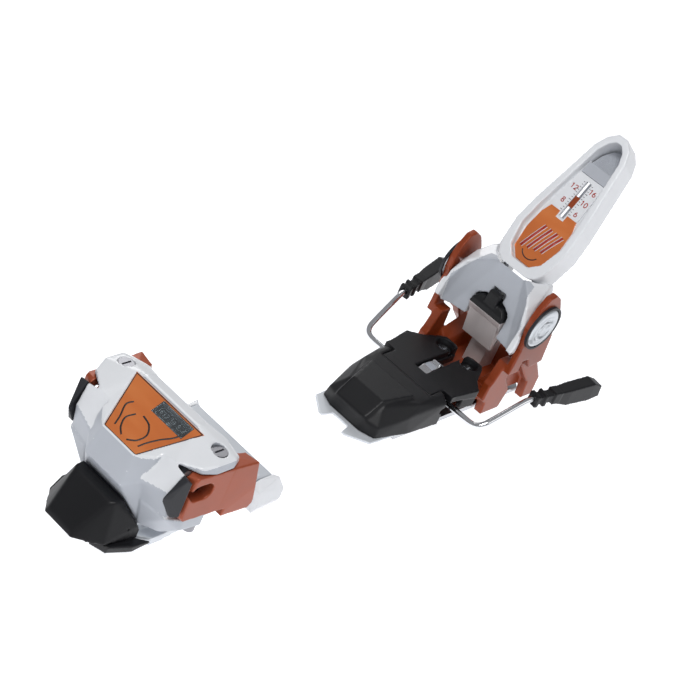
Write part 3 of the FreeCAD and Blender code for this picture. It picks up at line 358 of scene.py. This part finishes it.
# Moulded shells: cell size and rounds of settling per part.
shells = {
    "toe_lug_left": (0.0005, 2), "toe_lug_right": (0.0005, 2),
    "toe_base": (0.0006, 2), "toe_wing_left": (0.0005, 3), "toe_wing_right": (0.0005, 3),
    "toe_pad_left": (0.0004, 2), "toe_pad_right": (0.0004, 2), "afd_plate": (0.00045, 2),
    "afd_block_left": (0.0004, 2), "afd_block_right": (0.0004, 2),
    "brake_pedal": (0.0005, 3), "carriage": (0.00065, 3),
    "heel_front_plate": (0.00045, 2), "heel_treadle": (0.00045, 3), "brake_grip_left": (0.0005, 3),
    "brake_grip_right": (0.0005, 3), "pedal_clip": (0.00025, 2),
}
for name, (cell, rounds) in shells.items():
    moulded(name, cell, rounds)
softShells = {"toe_housing": 0.0006, "toe_nose": 0.0006, "brake_cap": 0.0006, "lever": 0.00065,
              "heel_housing": 0.0006}
for name, cell in softShells.items():
    moulded(name, cell, 4, extra=90)


# Faces chosen by a rule on their middle (mm) and direction take a second finish.
def secondFinish(obj, finishName, chosen):
    obj.data.materials.append(finishes[finishName])
    count = len(obj.data.polygons)
    middle, direction = np.zeros(count * 3), np.zeros(count * 3)
    obj.data.polygons.foreach_get("center", middle)
    obj.data.polygons.foreach_get("normal", direction)
    middle, direction = middle.reshape(-1, 3) * 1000, direction.reshape(-1, 3)
    obj.data.polygons.foreach_set("material_index", chosen(middle, direction).astype(int))
    obj.data.update()


# The bowl inside the hood, which takes painted shade: it faces forward, and its half width shrinks by 0.55 of
# its height above 48 mm.
def inBowl(c, d):
    reach = np.abs(c[:, 1])
    inside = (c[:, 0] > -2) & (c[:, 0] < 16) & (c[:, 2] > 40)
    return inside & (d[:, 0] < -0.25) & (reach < 29.4) & (reach + 0.55 * (c[:, 2] - 48) < 41)


# Painted shade under the toe: the toe housing's front faces that point sideways or down.
def underToe(c, d):
    return (d[:, 2] < 0.28) & (c[:, 0] < -262)


def belowBar(c, d):
    return (c[:, 2] < 58.2) & (c[:, 0] < 17)


# Painted shade grey on the white shell, in the hood's bowl and under the toe housing.
secondFinish(bpy.data.objects["heel_housingMoulded"], "paintedShade", inBowl)
secondFinish(bpy.data.objects["toe_housingMoulded"], "paintedShade", underToe)
secondFinish(bpy.data.objects["heel_treadleMoulded"], "brushed", belowBar)
print("moulded shells ready")


# Brake wires.
wireRoute = [(-32.0, 22.0, 14.0), (-32.0, 32.0, 14.0), (-32.0, 41.0, 14.0), (-31.7, 45.6, 14.4),
             (-30.6, 48.6, 15.7), (-28.0, 50.6, 17.7), (-24.0, 51.6, 20.0), (-13.0, 53.6, 25.7),
             (-2.0, 55.5, 31.2), (2.4, 56.4, 32.6),
             (7.0, 57.3, 33.1), (14.0, 58.6, 33.4)]
for label, side in (("left", -1), ("right", 1)):
    route = smoothPath(np.array(wireRoute) * [1, side, 1] * 0.001, 8)
    tube("brakeWire" + label.capitalize(), route, 0.00196, "bright", "brake_arms", 24,
         ("brake_wire_" + label,))
print("brake wires ready")


# Ribbons: a thin flat stroke laid on a surface; place(u, v, lift) gives the point in space.
def ribbon(name, strokes, width, place, finishName, body, thick=0.0001):
    points, faces = [], []
    for stroke in strokes:
        line = np.asarray(stroke, float)
        slope = np.gradient(line, axis=0)
        slope /= np.maximum(np.linalg.norm(slope, axis=1), 1e-9)[:, None]
        side = np.stack([-slope[:, 1], slope[:, 0]], -1) * width / 2
        first = len(points)
        for at, off in zip(line, side):
            for edge, lift in ((at - off, -thick), (at + off, -thick), (at + off, thick), (at - off, thick)):
                points.append(place(edge[0], edge[1], lift))
        faces += [[first + k for k in f] for f in gridFaces(len(line), 4, wrapColumns=True)]
        last = first + (len(line) - 1) * 4
        faces += [[first, first + 1, first + 2, first + 3], [last + 3, last + 2, last + 1, last]]
    return fixNormals(addMesh(name, points, faces, finishName, body), 1e-9)


def arc(u, v, across, up, start, end, steps=18):
    turn = np.radians(np.linspace(start, end, steps))
    return [(u + across * math.cos(t), v + up * math.sin(t)) for t in turn]


numeralStrokes = {
    "0": [arc(0.3, 0.5, 0.27, 0.47, 0, 360, 28)],
    "1": [[(0.08, 0.76), (0.2, 0.87), (0.32, 0.98)], [(0.32, 1.0), (0.32, 0.5), (0.32, 0.0)]],
    "2": [arc(0.3, 0.70, 0.26, 0.26, 165, -35, 16) + [(0.3, 0.28), (0.05, 0.03)],
          [(0.03, 0.04), (0.3, 0.04), (0.6, 0.04)]],
    "6": [arc(0.3, 0.29, 0.26, 0.26, 0, 360, 26), arc(0.58, 0.32, 0.54, 0.64, 180, 112, 12)],
    "8": [arc(0.3, 0.26, 0.27, 0.25, 0, 360, 26), arc(0.3, 0.74, 0.22, 0.22, 0, 360, 24)],
}


# Number strokes of the given height, centred on (u, v).
def numerals(text, u, v, height):
    step = 0.78 * height
    start = u - (len(text) - 1) * step / 2 - 0.3 * height
    return [[(start + k * step + a * height, v + (b - 0.5) * height) for a, b in stroke]
            for k, digit in enumerate(text) for stroke in numeralStrokes[digit]]


# Lever face: u runs to the viewer's right (towards -Y), v along the lever, lift out of the face.
leverSpec = {"foot": (15.2, 90.0), "angle": 56.6, "labelFace": -4.8, "scaleFace": -5.0}


def onLever(face):
    c, w = math.cos(math.radians(leverSpec["angle"])), math.sin(math.radians(leverSpec["angle"]))
    x, z = leverSpec["foot"]

    def place(u, v, lift):
        out = face + lift * 1000
        return ((x + c * v - w * out) / 1000, -u / 1000, (z + w * v + c * out) / 1000)
    return place


labelPlace, scalePlace = onLever(leverSpec["labelFace"]), onLever(leverSpec["scaleFace"])
bars = [[(-8.6 + k * 4.6, 15.0 + k * 1.2), (-6.2 + k * 4.6, 24.5 + k * 0.6), (-3.4 + k * 4.6, 34.0)]
        for k in range(4)]
ribbon("leverBarsOuter", bars, 2.5, labelPlace, "whiteInk", "lever_unit", 0.00006)
ribbon("leverBarsInner", bars, 1.7, labelPlace, "redInk", "lever_unit", 0.0001)
ribbon("leverFootStroke", [arc(0, 16.5, 6.4, 6.0, 205, 335, 20)], 0.7, labelPlace, "ink", "lever_unit")
marks = numerals("8", -6.6, 53.5, 3.4) + numerals("12", -6.4, 64, 3.4)
marks += numerals("6", 6.6, 50.5, 3.4) + numerals("10", 6.4, 58.5, 3.4) + numerals("16", 6.2, 67, 3.4)
ribbon("leverNumbers", marks, 0.55, scalePlace, "redInk", "lever_unit")
ticks = [[(s * 2.6, v), (s * 3.2, v), (s * (4.2 if k % 4 == 0 else 3.6), v)] for s in (-1, 1)
         for k, v in enumerate(np.linspace(48, 70, 12))]
ribbon("leverTicks", ticks, 0.3, scalePlace, "ink", "lever_unit")
print("lever marks ready")


# Fine domes on the lever's grip pad, each a half ball turned from (radius, height) pairs.
def domes(name, centres, radius, place, finishName, body):
    rings = [(1.0, -0.3), (0.92, 0.3), (0.6, 0.66), (0.0, 0.8)]
    points, faces = [], []
    for u, v in centres:
        first = len(points)
        for r, h in rings:
            for turn in np.linspace(0, 2 * math.pi, 8, endpoint=False):
                across, up = r * radius * math.cos(turn), r * radius * math.sin(turn)
                points.append(place(u + across, v + up, h * radius / 1000))
        faces += [[first + k for k in f] for f in gridFaces(len(rings), 8, wrapColumns=True)]
        faces.append([first + k for k in range(8)])
    return fixNormals(addMesh(name, points, faces, finishName, body), 1e-9)


def onPad(u, v, lift):
    face = np.interp(v, [82.2, 90, 96, 99.4], [-7.2, -11, -14, -15.6])
    return onLever(face)(u, v, lift)


spots = [(u, v) for v in np.arange(83.4, 95.6, 1.15) for u in np.arange(-6.4, 6.5, 1.15)
         if abs(u) < 7.4 - (v - 82) * 0.19]
domes("leverPadGrain", spots, 0.36, onPad, "greyShell", "lever_unit")


# Toe label: u to the viewer's right (towards -Y), v along the slope from the front edge.
def onToeLabel(u, v, lift):
    run, rise = 29.0 / 32.8, 15.4 / 32.8
    return ((-300.3 + run * v) / 1000 - rise * lift, -u / 1000, (53.8 + rise * v) / 1000 + run * lift)


sweeps = [smoothPath(np.array(p), 8)[:, :2] for p in (
    [(2, 3.0, 0), (6, 6.5, 0), (7, 12, 0), (3, 16.5, 0), (-3, 18, 0)],
    [(-2, 3.0, 0), (-6, 6.0, 0), (-8.5, 11, 0), (-6.5, 16, 0)],
    [(9, 4.5, 0), (10.5, 9, 0), (13.5, 15, 0), (17.5, 21, 0), (19, 27, 0)],
    [(-9, 4.5, 0), (-11, 9.5, 0), (-14.5, 16, 0), (-13, 20, 0)])]
ribbon("toeFlourish", sweeps, 0.9, onToeLabel, "ink", "toe_unit", 0.00008)
border = [[(-12.0, 0.6), (0, 0.6), (12.0, 0.6)], [(12.0, 0.6), (18.8, 16.4), (25.6, 32.2)],
          [(25.6, 32.2), (0, 32.2), (-25.6, 32.2)], [(-25.6, 32.2), (-18.8, 16.4), (-12.0, 0.6)]]
ribbon("toeLabelBorder", border, 0.5, onToeLabel, "ink", "toe_unit", 0.00008)


# Numbers under the toe window, read from the front.
def onToeScale(u, v, lift):
    x = -274.6 + v
    z = 53.8 + (15.4 / 29.0) * (x + 300.3) - 3.4
    return (x / 1000, -u / 1000, z / 1000 + lift)


settings = (("6", 16.5), ("8", 12.5), ("10", 8), ("12", 3), ("16", -1))
figures = [s for text, u in settings for s in numerals(text, u, 0, 2.3)]
ribbon("toeNumbers", figures, 0.42, onToeScale, "whiteInk", "toe_unit", 0.00008)
print("toe marks ready")


# Pivot discs: a turned face with an inner ring and a sunk middle.
discProfile = [(0, 2.3), (3.9, 2.3), (4.3, 2.6), (5.0, 2.6), (5.2, 1.75), (6.4, 1.75), (6.7, 2.55),
               (9.0, 2.78), (9.4, 2.5), (10.2, 2.45), (10.6, 2.6), (12.4, 2.1), (13.4, 1.6),
               (13.9, 1.1), (13.9, 0.05), (0, 0.05)]
for label, side in (("left", -1), ("right", 1)):
    lathe("pivotDisc" + label.capitalize(), (0.0135, side * 0.036, 0.0714), (0, side, 0),
          np.array(discProfile) * 0.001, "disc", "carriage_unit", 72, ("pivot_disc_" + label,))
print("discs ready")


# Stage.
def addLight(name, place, target, size, power, colour=(1, 1, 1)):
    data = bpy.data.lights.new(name, "AREA")
    data.size = size
    data.energy = power
    data.color = colour
    obj = bpy.data.objects.new(name, data)
    bpy.context.scene.collection.objects.link(obj)
    obj.location = place
    obj.rotation_mode = "QUATERNION"
    obj.rotation_quaternion = (Vector(target) - Vector(place)).to_track_quat("-Z", "Y")
    return obj


stageSpec = {"floorHeight": -0.102, "floorHalf": 6.0, "centre": (-0.13, 0.0, 0.05)}
h, z = stageSpec["floorHalf"], stageSpec["floorHeight"]
floorMesh = bpy.data.meshes.new("studioFloor")
floorMesh.from_pydata([(-h, -h, z), (h, -h, z), (h, h, z), (-h, h, z)], [], [(0, 1, 2, 3)])
floor = bpy.data.objects.new("studioFloor", floorMesh)
bpy.context.scene.collection.objects.link(floor)
floorFinish = surfaceFinish("paleFloor", (0.90, 0.90, 0.91), 0.8, shade=0.99, bump=0.0, specular=0.1)
floorFinish.node_tree.nodes["Principled BSDF"].inputs["Emission Color"].default_value = (0.96, 0.97, 1.0, 1)
floorFinish.node_tree.nodes["Principled BSDF"].inputs["Emission Strength"].default_value = 0.62
floor.data.materials.append(floorFinish)
centre = stageSpec["centre"]
addLight("softKey", (-0.75, -0.25, 1.25), centre, 0.6, 11.0)
addLight("softFill", (0.15, -1.25, 0.75), centre, 0.8, 2.0)
addLight("softRim", (0.65, 0.95, 0.9), centre, 0.6, 4.0)
world = bpy.data.worlds.new("studioWorld")
bpy.context.scene.world = world
world.use_nodes = True
world.node_tree.nodes["Background"].inputs["Color"].default_value = (0.96, 0.97, 1.0, 1)
world.node_tree.nodes["Background"].inputs["Strength"].default_value = 0.30
bpy.context.scene.view_settings.view_transform = "Standard"

cameraSpec = {"place": (-0.850, -0.4104, 0.577), "ahead": (0.73982, 0.42044, -0.52526), "roll": 24.46,
              "lens": 89.13}
cameraData = bpy.data.cameras.new("camera")
cameraData.lens = cameraSpec["lens"]
cameraData.sensor_width = 36.0
cameraData.clip_start, cameraData.clip_end = 0.05, 30.0
camera = bpy.data.objects.new("camera", cameraData)
bpy.context.scene.collection.objects.link(camera)
camera.location = cameraSpec["place"]
camera.rotation_mode = "QUATERNION"
aim = Vector(cameraSpec["ahead"]).to_track_quat("-Z", "Y")
camera.rotation_quaternion = aim @ Matrix.Rotation(math.radians(cameraSpec["roll"]), 3, "Z").to_quaternion()
bpy.context.scene.camera = camera
print("stage ready")
